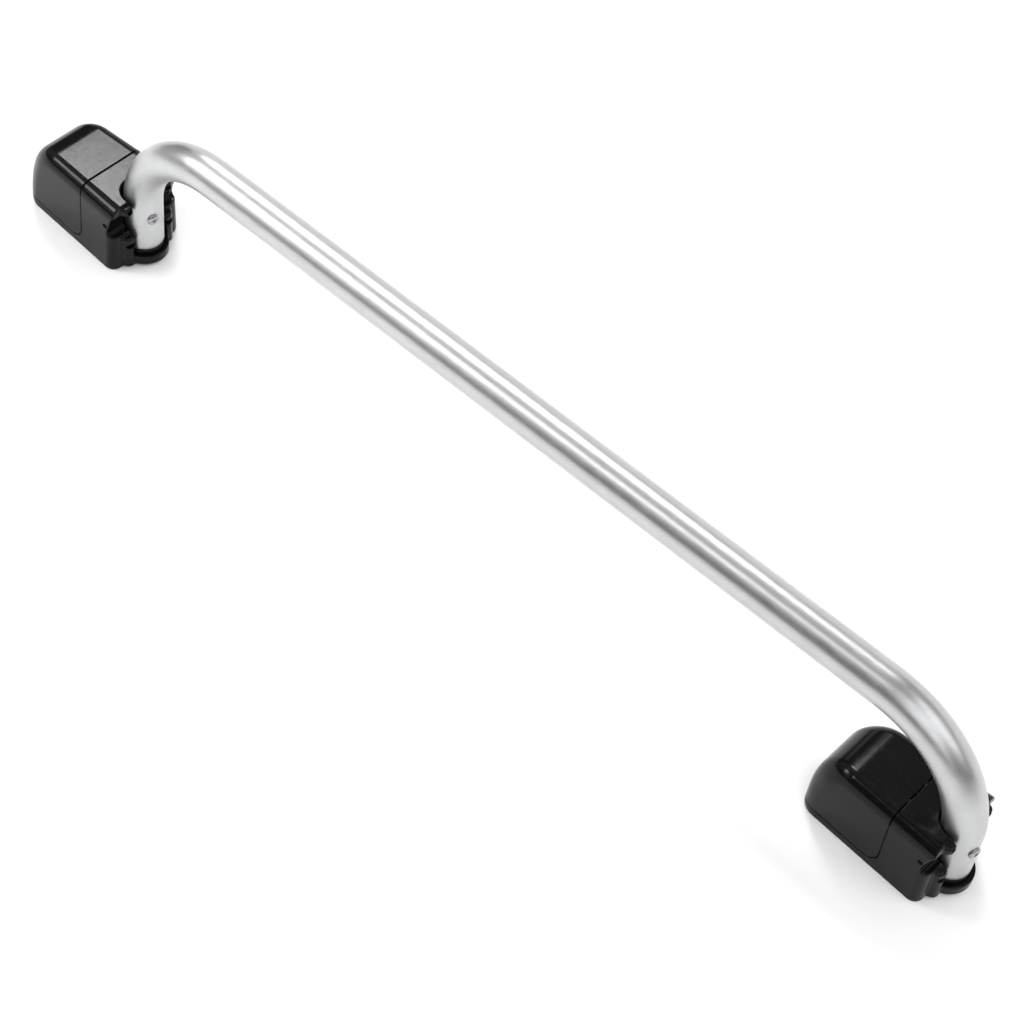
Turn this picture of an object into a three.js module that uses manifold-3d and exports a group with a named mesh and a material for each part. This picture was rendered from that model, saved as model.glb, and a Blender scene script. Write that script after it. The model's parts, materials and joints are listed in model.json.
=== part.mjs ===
// Grab bar on two suction feet: a bent tube whose ends swivel in the sockets of two lever-locked feet.
// Millimetres, +Z up. The feet rest on z = 0 and +X runs along the bar. The origin is under the middle of
// the object's bounding box. A foot is drawn in its own frame: origin under the tube's leg, foot lying
// towards -X.
import * as THREE from "three";
import { mergeVertices } from "three/addons/utils/BufferGeometryUtils.js";
import { ConvexGeometry } from "three/addons/geometries/ConvexGeometry.js";
import Module from "manifold-3d";

const wasm = await Module();
wasm.setup();

// ---- Driving dimensions -------------------------------------------------------------------------
const GAP = 0.35; // clearance between pieces that touch in life

const TUBE_R = 16;
const TUBE_WALL = 2;
const LEG_SPACING = 830; // between the two legs' axes
const BAR_Z = 142; // height of the bar's axis
const BEND_R = 85; // bend radius at the tube's axis
const TUBE_END_Z = 16.5; // cut end of each leg
const BEND_STEPS = 9;
const LEG_SCREW_DEGREES = -14; // the screw's head faces this far from +X towards -Y
const LEG_SCREW = { z: 49.5, headR: 5.2, head: 2.4 };
const HEAD_GROOVE = { r: 19, z: [42.8, 56.2] }; // room for the screw's head as the foot swivels

const FOOT_REAR = -110.5; // rear end of a foot
const FOOT_FRONT = 2; // front faces of its two cheeks
const FOOT_HALF_W = 37.4; // at the leg's axis
const FOOT_TAPER = 0.00166; // share of its width that the foot loses per millimetre towards the rear
const FOOT_TOP = 68;
const SIDE_DRAFT = 1.4; // how far each side leans in over the full height
const TOP_EDGE_R = 12; // rounding along the long top edges
const REAR_RISE = { x: 33, z: 40 }; // quarter ellipse that joins the top to the rear end
const REAR_CORNER_R = 19;
const FRONT_CORNER_R = 7;
const SHELL = 2.4; // wall of the housing and lever mouldings

const PAD_LIP = 2; // thickness of the rubber edge under the foot
const BASE_Z = PAD_LIP + GAP; // underside of the housing
const FLOOR_Z = [6.4, 8.8]; // the housing's floor
const RIM = 4.2; // width of the low rim that stands round the pad
const CUP_FRONT = -20; // the pad's raised part and its frame end here, short of the leg
const SEAM_X = -38; // front edge of the lever
const SEAM_Z = 7.4; // lower edge of the lever
const SEAM_CORNER_R = 12;
const SEAM_GAP = { top: 1.1, side: 0.5 }; // the top edge swings forward as the lever opens

const LEVER_PIVOT = { x: -56, z: 62.5 };
const LEVER_PIN_R = 1.6;
const LEVER_OPEN = Math.PI / 3; // full travel of the lever
const STEM = { x: -55, r: 5, pinZ: 50, drop: 2.6 }; // the stem that lifts the pad, and its travel
const CAM = { inner: 8, outer: 12, r: 21 };
const EAR = { inner: 15, outer: 19 };
const GUIDE_TOP = 22; // top of the stem's guide sleeve

const SOCKET_R = TUBE_R + 1.1; // channel that the leg turns in
const CHANNEL_X = -1; // the middle of its round back
const JACKET = 3.6; // wall of the channel that the leg turns in
const COLLAR = { r: 17.6, z0: 2.35, z1: 11, bore: 16.2 }; // lip that runs round the front of the socket
const CHEEK_STEP = { x: 7.6, y: 22.5 }; // thicker inner part of each cheek's front
const RECESS = { z0: 36, z1: 59, x: -5.8, topX: 0.3, r: 5, y: 15.5 }; // scoop across each cheek's front
const LOBE = { x: 2.6, y: 20.8, r: 5.4 }; // rounded eyes beside the leg, above and below the scoop
const LOBE_SCREW_Z = [24.4, 62.2];
const FINGER = { halfW: 13, rise: 9 }; // scoop in the rear edge of the lever
const CAM_SCREW = { x: -72, y: 5 };
const PAD = { beadInset: RIM + 0.4, bead: 1.8, beadTop: 5.6, centreZ: 4.3, frameZ: [3.5, 6.05] };
const BOLT = { headR: 6.4, headZ: [2.6, 5], r: 3.9, tip: 30 }; // holds the leg down in its socket
const SOCKET_FLOOR = [6.3, 9]; // top of the bolt's pocket, seat of the detent ring
const FRAME_SCREWS = [
  [-97, -16], [-97, 16], [-46, -26.4], [-46, 26.4],
];
const SPRING = { turns: 6, wire: 0.9, r: 6.6, z0: 22.3, z1: 43.1 };

// ---- Materials ----------------------------------------------------------------------------------
const paint = (color, roughness, metalness) =>
  new THREE.MeshStandardMaterial({ color, roughness, metalness });
const ANODISED = paint(0xc9cacc, 0.35, 1);
const BLACK_GLOSS = paint(0x141516, 0.28, 0);
const BLACK_SATIN = paint(0x1b1c1d, 0.5, 0);
const RUBBER = paint(0x101010, 0.8, 0);
const STEEL = paint(0xb4b6b8, 0.3, 1);
const ZINC = paint(0x8f9194, 0.45, 1);

// ---- Geometry helpers ---------------------------------------------------------------------------
/** A closed three.js geometry as a manifold-3d solid. */
function solid(geometry) {
  const bare = new THREE.BufferGeometry();
  const loose = geometry.index ? geometry.toNonIndexed() : geometry;
  bare.setAttribute("position", loose.getAttribute("position"));
  const merged = mergeVertices(bare, 1e-4);
  return new wasm.Manifold(
    new wasm.Mesh({
      numProp: 3,
      vertProperties: merged.attributes.position.array,
      triVerts: new Uint32Array(merged.index.array),
    }),
  );
}

/** A manifold-3d solid as a named mesh. */
function mesh(name, body, material) {
  const { vertProperties, triVerts } = body.getMesh();
  const geometry = new THREE.BufferGeometry();
  geometry.setAttribute("position", new THREE.BufferAttribute(vertProperties, 3));
  geometry.setIndex(new THREE.BufferAttribute(triVerts, 1));
  geometry.computeVertexNormals();
  const made = new THREE.Mesh(geometry, material);
  made.name = name;
  return made;
}

/** A shape drawn in XY, extruded from z0 to z1. */
function prism(shape, z0, z1, curveSegments = 6) {
  const geometry = new THREE.ExtrudeGeometry(shape, { depth: z1 - z0, bevelEnabled: false, curveSegments });
  return solid(geometry.translate(0, 0, z0));
}

/** A shape drawn as (x, z), extruded across Y from y0 to y1. */
function acrossY(shape, y0, y1, curveSegments = 6) {
  const geometry = new THREE.ExtrudeGeometry(shape, { depth: y1 - y0, bevelEnabled: false, curveSegments });
  return solid(geometry.rotateX(Math.PI / 2).translate(0, y1, 0));
}

/** A shape drawn as (y, z), extruded along X from x0 to x1. */
function alongX(shape, x0, x1, curveSegments = 6) {
  const geometry = new THREE.ExtrudeGeometry(shape, { depth: x1 - x0, bevelEnabled: false, curveSegments });
  return solid(geometry.rotateX(Math.PI / 2).rotateZ(Math.PI / 2).translate(x0, 0, 0));
}

/** An upright cylinder. */
const post = (x, y, r, z0, z1, sides = 20) =>
  solid(
    new THREE.CylinderGeometry(r, r, z1 - z0, sides).rotateX(Math.PI / 2).translate(x, y, (z0 + z1) / 2),
  );

/** A cylinder across Y. */
const barY = (x, z, r, y0, y1, sides = 16) =>
  solid(new THREE.CylinderGeometry(r, r, y1 - y0, sides).translate(x, (y0 + y1) / 2, z));

/** A cylinder along X. */
const barX = (y, z, r, x0, x1, sides = 12) =>
  solid(
    new THREE.CylinderGeometry(r, r, x1 - x0, sides).rotateZ(Math.PI / 2).translate((x0 + x1) / 2, y, z),
  );

const block = (x0, x1, y0, y1, z0, z1) =>
  solid(
    new THREE.BoxGeometry(x1 - x0, y1 - y0, z1 - z0).translate((x0 + x1) / 2, (y0 + y1) / 2, (z0 + z1) / 2),
  );

/** A profile of [radius, z] points, turned about the upright axis through (x, y). */
const turned = (profile, x, y, sides = 28) =>
  solid(
    new THREE.LatheGeometry(profile.map(([r, z]) => new THREE.Vector2(r, z)), sides)
      .rotateX(Math.PI / 2)
      .translate(x, y, 0),
  );

const bothSides = (make) => [-1, 1].map(make);
const joined = (bodies) => bodies.reduce((whole, body) => whole.add(body));

// ---- The foot's outer form ----------------------------------------------------------------------
/** Plan of the foot, inset by a wall: rounded rear corners and small front corners. */
function plan(inset, front = FOOT_FRONT, halfWidth = FOOT_HALF_W) {
  const rear = FOOT_REAR + inset;
  const y = halfWidth - inset;
  const rearR = REAR_CORNER_R - inset;
  const frontR = Math.max(FRONT_CORNER_R - inset, 1);
  const x = front - inset;
  const shape = new THREE.Shape();
  shape.moveTo(rear + rearR, -y);
  shape.lineTo(x - frontR, -y);
  shape.absarc(x - frontR, -y + frontR, frontR, -Math.PI / 2, 0, false);
  shape.absarc(x - frontR, y - frontR, frontR, 0, Math.PI / 2, false);
  shape.absarc(rear + rearR, y - rearR, rearR, Math.PI / 2, Math.PI, false);
  shape.absarc(rear + rearR, -y + rearR, rearR, Math.PI, 1.5 * Math.PI, false);
  return shape;
}

/** Side view of the foot, inset by a wall: flat top that falls away to the rear in a quarter ellipse. */
function sideView(inset, front) {
  const rear = FOOT_REAR + inset;
  const top = FOOT_TOP - inset;
  const shape = new THREE.Shape();
  shape.moveTo(rear, -1);
  shape.lineTo(front, -1);
  shape.lineTo(front, top);
  shape.lineTo(rear + REAR_RISE.x, top);
  shape.absellipse(
    rear + REAR_RISE.x, top - REAR_RISE.z, REAR_RISE.x, REAR_RISE.z, Math.PI / 2, Math.PI, false, 0,
  );
  return shape;
}

/** End view of the foot, inset by a wall: leaning sides with rounded top edges. */
function endView(inset) {
  const base = FOOT_HALF_W - inset;
  const top = FOOT_TOP - inset;
  const r = TOP_EDGE_R - inset / 2;
  const shoulder = base - SIDE_DRAFT;
  const shape = new THREE.Shape();
  shape.moveTo(-base, -1);
  shape.lineTo(base, -1);
  shape.lineTo(shoulder, top - r);
  shape.absarc(shoulder - r, top - r, r, 0, Math.PI / 2, false);
  shape.absarc(-shoulder + r, top - r, r, Math.PI / 2, Math.PI, false);
  return shape;
}

/** Narrows a form in proportion towards the foot's rear. */
const tapered = (body) =>
  body.warp((point) => {
    point[1] *= 1 + FOOT_TAPER * point[0];
  });

/** A slice of the foot's plan, inset by a wall. */
const slice = (inset, z0, z1, detail, front = FOOT_FRONT) =>
  tapered(prism(plan(inset, front), z0, z1, detail));

/** The foot's whole outer form, or the space inside a wall of that thickness. */
function footForm(inset, front = FOOT_FRONT) {
  const far = front + 40;
  const detail = inset > 0 ? 2 : 4;
  const form = prism(plan(inset, front), -1, FOOT_TOP + 1, detail)
    .intersect(acrossY(sideView(inset, far), -FOOT_HALF_W - 1, FOOT_HALF_W + 1, detail + 2))
    .intersect(alongX(endView(inset), FOOT_REAR - 1, far, detail));
  return tapered(form);
}

/** Side view of all behind and above the lever's seam, on the lever's side (-1) or the housing's (1). */
function leverZone(sideOfSeam) {
  const x = SEAM_X + (sideOfSeam * SEAM_GAP.side) / 2;
  const z = SEAM_Z - (sideOfSeam * SEAM_GAP.side) / 2;
  const topX = SEAM_X + (sideOfSeam * SEAM_GAP.top) / 2;
  const r = SEAM_CORNER_R;
  const shape = new THREE.Shape();
  shape.moveTo(FOOT_REAR - 5, z);
  shape.lineTo(x - r, z);
  shape.absarc(x - r, z + r, r, -Math.PI / 2, 0, false);
  shape.lineTo(x, FOOT_TOP - TOP_EDGE_R);
  shape.lineTo(topX, FOOT_TOP - TOP_EDGE_R + 2);
  shape.lineTo(topX, FOOT_TOP + 5);
  shape.lineTo(FOOT_REAR - 5, FOOT_TOP + 5);
  return acrossY(shape, -FOOT_HALF_W - 2, FOOT_HALF_W + 2, 4);
}

// ---- Pieces of a foot ---------------------------------------------------------------------------
/** The housing's front: two cheeks either side of the leg, with eyes and a scoop between them. */
function cheeks() {
  const step = bothSides((s) => {
    const ys = [s * (SOCKET_R - 1), s * CHEEK_STEP.y];
    return block(-12, CHEEK_STEP.x, Math.min(...ys), Math.max(...ys), BASE_Z, RECESS.z0 - 6);
  });
  const eyes = bothSides((s) =>
    post(LOBE.x, s * LOBE.y, LOBE.r, RECESS.z1 - 5, FOOT_TOP - 2.5, 16).add(
      post(LOBE.x, s * LOBE.y, LOBE.r, BASE_Z, RECESS.z0 - 3, 16),
    ),
  );
  return joined([...step, ...eyes]);
}

/** Everything cut out of the cheeks: the leg's channel, the scoops and the screw pockets. */
function cheekCuts() {
  const channel = new THREE.Shape();
  channel.moveTo(40, -SOCKET_R);
  channel.lineTo(40, SOCKET_R);
  channel.lineTo(CHANNEL_X, SOCKET_R);
  channel.absarc(CHANNEL_X, 0, SOCKET_R, Math.PI / 2, 1.5 * Math.PI, false);
  const scoop = new THREE.Shape();
  scoop.moveTo(30, RECESS.z0);
  scoop.lineTo(30, RECESS.z1);
  scoop.lineTo(RECESS.topX, RECESS.z1);
  scoop.lineTo(RECESS.x, RECESS.z0 + RECESS.r);
  scoop.absarc(RECESS.x + RECESS.r, RECESS.z0 + RECESS.r, RECESS.r, Math.PI, 1.5 * Math.PI, false);
  const scoops = bothSides((s) => {
    const ys = [s * RECESS.y, s * (FOOT_HALF_W + 2)];
    return acrossY(scoop, Math.min(...ys), Math.max(...ys), 3);
  });
  const pockets = LOBE_SCREW_Z.flatMap((z) =>
    bothSides((s) => barX(s * LOBE.y, z, 2.5, 2.2, 20, 12).add(barX(s * LOBE.y, z, 1.5, -8, 3, 8))),
  );
  const groove = post(CHANNEL_X, 0, HEAD_GROOVE.r, ...HEAD_GROOVE.z, 24);
  return joined([prism(channel, COLLAR.z1, FOOT_TOP + 2, 10), groove, ...scoops, ...pockets]);
}

/** What the rounded front corners leave out, beside the cheeks' thicker part. */
const cornerTrim = () => {
  const beside = bothSides((s) => {
    const ys = [s * CHEEK_STEP.y, s * (FOOT_HALF_W + 2)];
    return block(-12, FOOT_FRONT + 1, Math.min(...ys), Math.max(...ys), 0, FOOT_TOP + 2);
  });
  return joined(beside).subtract(footForm(0));
};

/** The moulded housing: front block, low rim under the lever, floor, ears for the lever's pin, guide. */
function housing() {
  const rim = slice(0.5, BASE_Z, SEAM_Z - SEAM_GAP.side / 2, 4).intersect(footForm(0));
  const skin = footForm(0).subtract(footForm(SHELL)).subtract(leverZone(1)).add(rim);
  const floor = slice(SHELL + 0.6, FLOOR_Z[0], FLOOR_Z[1], 4);
  const socket = turned(
    [[0, COLLAR.z0], [COLLAR.r, COLLAR.z0], [COLLAR.r, COLLAR.z1], [0, COLLAR.z1]], 0, 0, 28,
  ).add(
    post(CHANNEL_X, 0, SOCKET_R + JACKET, BASE_Z, FOOT_TOP - 0.5, 24),
  ).add(block(-10, FOOT_FRONT - 0.2, -FOOT_HALF_W + 2, FOOT_HALF_W - 2, BASE_Z, FOOT_TOP - 3));
  const guide = post(STEM.x, 0, STEM.r + 3, FLOOR_Z[0], GUIDE_TOP);
  const ears = bothSides((s) => {
    const ys = [s * EAR.inner, s * EAR.outer];
    const outline = new THREE.Shape();
    const { x, z } = LEVER_PIVOT;
    outline.moveTo(x - 9, FLOOR_Z[0] + 1);
    outline.lineTo(x + 9, FLOOR_Z[0] + 1);
    outline.lineTo(x + 3, z);
    outline.absarc(x, z, 3, 0, Math.PI, false);
    return acrossY(outline, Math.min(...ys), Math.max(...ys), 5);
  });
  return skin
    .add(floor)
    .add(socket.intersect(footForm(0, 30)).subtract(cornerTrim()))
    .add(cheeks().intersect(footForm(0, 30)))
    .add(guide)
    .add(joined(ears))
    .subtract(cheekCuts())
    .subtract(block(FOOT_REAR - 1, 30, -FOOT_HALF_W - 2, FOOT_HALF_W + 2, -2, BASE_Z))
    .subtract(slice(RIM, 0, FLOOR_Z[0], 3, CUP_FRONT))
    .subtract(joined(FRAME_SCREWS.map(([x, y]) => post(x, y, 1.75, 5, 11, 10))))
    .subtract(post(STEM.x, 0, STEM.r + GAP, 0, GUIDE_TOP + 1))
    .subtract(barY(LEVER_PIVOT.x, LEVER_PIVOT.z, LEVER_PIN_R + 0.05, -EAR.outer - 1, EAR.outer + 1))
    .subtract(post(0, 0, 4.4, 0, COLLAR.z1 + 1))
    .subtract(post(0, 0, 9, 0, SOCKET_FLOOR[0]))
    .subtract(post(0, 0, COLLAR.bore, SOCKET_FLOOR[1], COLLAR.z1 + 1, 24));
}

/** The flip-up lever that forms the foot's rear, with posts for the cam's screws and a finger scoop. */
function lever() {
  const scoop = new THREE.Shape();
  scoop.absellipse(0, SEAM_Z, FINGER.halfW, FINGER.rise, 0, Math.PI, false, 0);
  const posts = bothSides((s) => post(CAM_SCREW.x, s * CAM_SCREW.y, 2.9, 62.9, FOOT_TOP - 1, 12));
  return footForm(0)
    .subtract(footForm(SHELL))
    .add(joined(posts))
    .intersect(leverZone(-1))
    .subtract(alongX(scoop, FOOT_REAR - 5, FOOT_REAR + 8, 12))
    .subtract(joined(bothSides((s) => post(CAM_SCREW.x, s * CAM_SCREW.y, 1.4, 60, 65, 12))));
}

/** The cam block screwed inside the lever: two slotted discs that raise the stem's cross pin. */
function leverCam() {
  const { x, z } = LEVER_PIVOT;
  const eye = 2.7;
  const outline = new THREE.Shape();
  outline.moveTo(x, z + eye);
  outline.absarc(x, z, eye, Math.PI / 2, 0, true);
  outline.lineTo(x + CAM.r * Math.cos(0.15), z - CAM.r * Math.sin(0.15));
  outline.absarc(x, z, CAM.r, -0.15, -Math.PI * 0.6, true);
  outline.lineTo(x - 8, z - 8);
  outline.lineTo(x - 22, z - 4);
  outline.lineTo(x - 22, z);
  outline.lineTo(x - 5, z + eye - 1);
  const sides = bothSides((s) => {
    const ys = [s * CAM.inner, s * CAM.outer];
    return acrossY(outline, Math.min(...ys), Math.max(...ys), 5);
  });
  const bridge = block(x - 22, x - 9, -CAM.inner - 1, CAM.inner + 1, z - 3, z);
  return joined([...sides, bridge])
    .subtract(joined(camSlot()))
    .subtract(barY(x, z, LEVER_PIN_R + 0.3, -CAM.outer - 1, CAM.outer + 1, 14))
    .subtract(joined(bothSides((s) => post(CAM_SCREW.x, s * CAM_SCREW.y, 1.8, z - 8, z + 2, 12))))
    .subtract(joined(bothSides((s) => post(CAM_SCREW.x, s * CAM_SCREW.y, 3.4, z - 8, z - 1.8, 16))));
}

/** The cam's slot: the cross pin's path, seen from the lever, swept by its radius and a clearance. */
function camSlot() {
  const steps = 5;
  const r = LEVER_PIN_R + 0.3;
  const at = (k) => {
    const turn = (LEVER_OPEN * k) / steps;
    const dx = STEM.x - LEVER_PIVOT.x;
    const dz = STEM.pinZ - LEVER_PIVOT.z - (STEM.drop * k) / steps;
    return new THREE.Vector2(
      LEVER_PIVOT.x + dx * Math.cos(turn) - dz * Math.sin(turn),
      LEVER_PIVOT.z + dx * Math.sin(turn) + dz * Math.cos(turn),
    );
  };
  const bodies = [];
  for (let k = 0; k < steps; k++) {
    const a = at(k);
    const b = at(k + 1);
    const across = b.clone().sub(a).normalize().multiplyScalar(r);
    const side = new THREE.Vector2(-across.y, across.x);
    const link = new THREE.Shape([
      a.clone().add(side), a.clone().sub(side), b.clone().sub(side), b.clone().add(side),
    ]);
    bodies.push(acrossY(link, -CAM.outer - 1, CAM.outer + 1));
    bodies.push(barY(a.x, a.y, r, -CAM.outer - 1, CAM.outer + 1, 12));
  }
  const end = at(steps);
  bodies.push(barY(end.x, end.y, r, -CAM.outer - 1, CAM.outer + 1, 12));
  return bodies;
}

/** A headed pin across Y. */
const pinY = (x, z, r, halfLength, head) =>
  barY(x, z, r, -halfLength, halfLength).add(barY(x, z, head, -halfLength - 1, -halfLength + 0.01));

/** An upright screw, head on top, its socket cut in. */
const screwDown = (x, y, r, headR, zHead, headHeight, zTip) =>
  post(x, y, headR, zHead, zHead + headHeight, 18)
    .add(post(x, y, r, zTip, zHead + 0.01, 12))
    .subtract(post(x, y, headR * 0.5, zHead + headHeight * 0.4, zHead + headHeight + 1, 6));

/** The same screw, head underneath. */
const screwUp = (x, y, r, headR, zHead, headHeight, zTip) =>
  post(x, y, headR, zHead - headHeight, zHead, 18)
    .add(post(x, y, r, zHead - 0.01, zTip, 12))
    .subtract(post(x, y, headR * 0.5, zHead - headHeight - 1, zHead - headHeight * 0.4, 6));

/** The four-sided dome under the floor, as a solid between two rectangles. */
function dome(low, high) {
  const corners = [low, high].flatMap(({ x0, x1, y, z }) =>
    [x0, x1].flatMap((x) => [-y, y].map((side) => new THREE.Vector3(x, side, z))),
  );
  return solid(new ConvexGeometry(corners));
}

/** The rubber suction pad: thin edge, bead held by the frame, and a centre already drawn up. */
function pad() {
  const top = { x0: -86, x1: -33, y: 21, z: PAD.centreZ };
  const foot = { x0: -93, x1: -27, y: 27, z: 1 };
  const rise = slice(PAD.beadInset, 0.5, PAD.beadTop, 3, CUP_FRONT).subtract(
    slice(PAD.beadInset + PAD.bead, 0, PAD.beadTop + 1, 3, CUP_FRONT),
  );
  const lowered = ({ x0, x1, y, z }, grow, drop) => (
    { x0: x0 - grow, x1: x1 + grow, y: y + grow, z: z - drop }
  );
  return slice(0.4, 0, PAD_LIP, 4)
    .add(rise)
    .add(dome(foot, top))
    .subtract(dome(lowered(foot, 2, 1.6), lowered(top, -0.4, 1.6)));
}

/** Ring that clamps the pad's bead up against the floor. */
const padFrame = () =>
  slice(PAD.beadInset + PAD.bead + GAP, PAD.frameZ[0], PAD.frameZ[1], 3, CUP_FRONT)
    .subtract(block(-91, -30, -24, 24, 0, 20))
    .subtract(joined(FRAME_SCREWS.map(([x, y]) => post(x, y, 1.6, 0, 20, 10))));

/** The stem: foot threaded in the lift plate, collar for the spring, cross hole for the pin. */
const stem = () =>
  turned(
    [[0, 4.9], [3, 4.9], [3, 6.3], [STEM.r, 6.3], [STEM.r, 43.4], [7.3, 43.4], [7.3, 45.2], [STEM.r, 45.2],
      [STEM.r, 53.6], [4, 54.4], [0, 54.4]], STEM.x, 0, 24,
  ).subtract(barY(STEM.x, STEM.pinZ, LEVER_PIN_R + 0.05, -10, 10));

const liftPlate = () =>
  block(-84, -35, -19.5, 19.5, PAD.centreZ + GAP, 6.05).subtract(post(STEM.x, 0, 3.1, 0, 20, 24));

/** Spring round the stem, between the guide sleeve and the stem's collar. */
function spring() {
  const { turns, wire, r, z0, z1 } = SPRING;
  class Helix extends THREE.Curve {
    getPoint(t, target = new THREE.Vector3()) {
      const turn = 2 * Math.PI * turns * t;
      const z = z0 + wire + (z1 - z0 - 2 * wire) * t;
      return target.set(STEM.x + r * Math.cos(turn), r * Math.sin(turn), z);
    }
  }
  const section = new THREE.Shape().absarc(0, 0, wire, 0, 2 * Math.PI, false);
  return solid(
    new THREE.ExtrudeGeometry(section, { extrudePath: new Helix(), steps: turns * 10, curveSegments: 3 }),
  );
}

/** Plug fixed in the tube's end; its flange is the black ring that shows under the tube. */
const tubePlug = () =>
  turned(
    [
      [0, 12.2], [15.6, 12.2], [15.9, 12.6], [15.9, TUBE_END_Z - GAP],
      [TUBE_R - TUBE_WALL - GAP, TUBE_END_Z - GAP], [TUBE_R - TUBE_WALL - GAP, 54], [0, 54],
    ], 0, 0, 28,
  )
    .subtract(post(0, 0, 4, 10, 32, 20))
    .subtract(barX(0, LEG_SCREW.z, 2.6, 2, 20, 12).rotate([0, 0, LEG_SCREW_DEGREES]));

/** Ring with radial teeth that lies in the floor of the socket. */
function detentRing() {
  const seat = SOCKET_FLOOR[1] + 0.2;
  const ring = post(0, 0, 15.8, seat, seat + 1.95, 24).subtract(post(0, 0, 9, 8, 13, 16));
  const teeth = [];
  const count = 12;
  for (let k = 0; k < count; k++) {
    const tooth = new THREE.BoxGeometry(5, 2.4, 1).translate(13.1, 0, seat + 2.15);
    teeth.push(solid(tooth.rotateZ((2 * Math.PI * k) / count)));
  }
  return ring.add(joined(teeth));
}

const pivotBolt = () =>
  post(0, 0, BOLT.headR, ...BOLT.headZ)
    .add(post(0, 0, BOLT.r, BOLT.headZ[1] - 0.01, BOLT.tip))
    .subtract(post(0, 0, 3, 0, BOLT.headZ[0] + 1.5, 6));

const pivotWasher = () => post(0, 0, 8.4, 5.3, 6, 24).subtract(post(0, 0, 4.2, 4, 7, 20));

/** Button-head screw through the tube wall into the plug, head on the side away from the foot. */
const buttonHead = [
  [0, 0], [LEG_SCREW.headR, 0], [LEG_SCREW.headR, 0.6], [4.4, 0.7 * LEG_SCREW.head], [2.6, LEG_SCREW.head],
  [0, LEG_SCREW.head],
];
const legScrew = () =>
  solid(
    new THREE.LatheGeometry(
      buttonHead.map(([r, h]) => new THREE.Vector2(r, h)), 20,
    )
      .rotateZ(-Math.PI / 2)
      .translate(TUBE_R + 0.1, 0, LEG_SCREW.z),
  )
    .add(barX(0, LEG_SCREW.z, 2.5, 6, TUBE_R + 0.2, 12))
    .subtract(barX(0, LEG_SCREW.z, 1.8, TUBE_R + 1.1, TUBE_R + 5, 6))
    .rotate([0, 0, LEG_SCREW_DEGREES]);

/** Screw sunk in the eye of a cheek. */
const cheekScrew = (side, z) => barX(side * LOBE.y, z, 2.1, 2.5, 4.6, 14)
  .add(barX(side * LOBE.y, z, 1.2, -6, 2.6, 8))
  .subtract(barX(side * LOBE.y, z, 1.1, 3.6, 6, 6));

/** One foot: its fixed pieces, and the pieces that its lever moves. */
function foot(prefix, x) {
  const group = new THREE.Group();
  const add = (name, body, material) => group.add(mesh(`${prefix}_${name}`, body, material));
  add("housing", housing(), BLACK_GLOSS);
  add("suction_pad", pad(), RUBBER);
  add("pad_frame", padFrame(), BLACK_SATIN);
  FRAME_SCREWS.forEach(([sx, sy], k) =>
    add(`frame_screw_${k + 1}`, screwDown(sx, sy, 1.4, 2.7, FLOOR_Z[1] + 0.1, 1.8, 4), STEEL),
  );
  add("detent_ring", detentRing(), BLACK_SATIN);
  add("lever", lever(), BLACK_GLOSS);
  add("lever_cam", leverCam(), ZINC);
  [-1, 1].forEach((s, k) => {
    const screw = screwUp(CAM_SCREW.x, s * CAM_SCREW.y, 1.3, 2.6, LEVER_PIVOT.z - 2, 1.6, 64.6);
    add(`cam_screw_${k + 1}`, screw, STEEL);
  });
  add("lever_pin", pinY(LEVER_PIVOT.x, LEVER_PIVOT.z, LEVER_PIN_R, EAR.outer + 0.4, 2.4), STEEL);
  add("stem", stem(), ZINC);
  add("stem_pin", barY(STEM.x, STEM.pinZ, LEVER_PIN_R, -CAM.outer, CAM.outer), STEEL);
  add("lift_plate", liftPlate(), STEEL);
  add("spring", spring(), STEEL);
  add("tube_plug", tubePlug(), BLACK_SATIN);
  add("pivot_bolt", pivotBolt(), STEEL);
  add("pivot_washer", pivotWasher(), STEEL);
  add("leg_screw", legScrew(), STEEL);
  LOBE_SCREW_Z.forEach((z, row) =>
    [-1, 1].forEach((s, k) => add(`cheek_screw_${2 * row + k + 1}`, cheekScrew(s, z), BLACK_SATIN)),
  );
  group.position.x = x;
  return group;
}

// ---- The bar ------------------------------------------------------------------------------------
/** The bar's axis from leg to leg, stepped finely round the bends and in one stride along the straights. */
class RailPath extends THREE.Curve {
  constructor() {
    super();
    const bend = Math.PI / 2;
    this.stations = [{ x: 0, z: TUBE_END_Z, turn: 0 }];
    for (let k = 0; k <= BEND_STEPS; k++) {
      const turn = (bend * k) / BEND_STEPS;
      this.stations.push({
        x: BEND_R * (1 - Math.cos(turn)), z: BAR_Z - BEND_R + BEND_R * Math.sin(turn), turn,
      });
    }
    const mirrored = this.stations.map(
      ({ x, z, turn }) => ({ x: LEG_SPACING - x, z, turn: Math.PI - turn }),
    );
    this.stations.push(...mirrored.reverse());
  }

  station(u) {
    return this.stations[Math.round(u * (this.stations.length - 1))];
  }

  getPointAt(u, target = new THREE.Vector3()) {
    const { x, z } = this.station(u);
    return target.set(x, 0, z);
  }

  getTangentAt(u, target = new THREE.Vector3()) {
    const { turn } = this.station(u);
    return target.set(Math.sin(turn), 0, Math.cos(turn));
  }
}

function grabTube() {
  const path = new RailPath();
  const section = new THREE.Shape().absarc(0, 0, TUBE_R, 0, 2 * Math.PI, false);
  section.holes.push(new THREE.Path().absarc(0, 0, TUBE_R - TUBE_WALL, 0, 2 * Math.PI, true));
  const tube = solid(
    new THREE.ExtrudeGeometry(
      section, { extrudePath: path, steps: path.stations.length - 1, curveSegments: 12 },
    ),
  );
  const hole = barX(0, LEG_SCREW.z, 2.8, 8, 20, 12).rotate([0, 0, LEG_SCREW_DEGREES]);
  return tube.subtract(hole).subtract(hole.translate([LEG_SPACING, 0, 0]));
}

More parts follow.
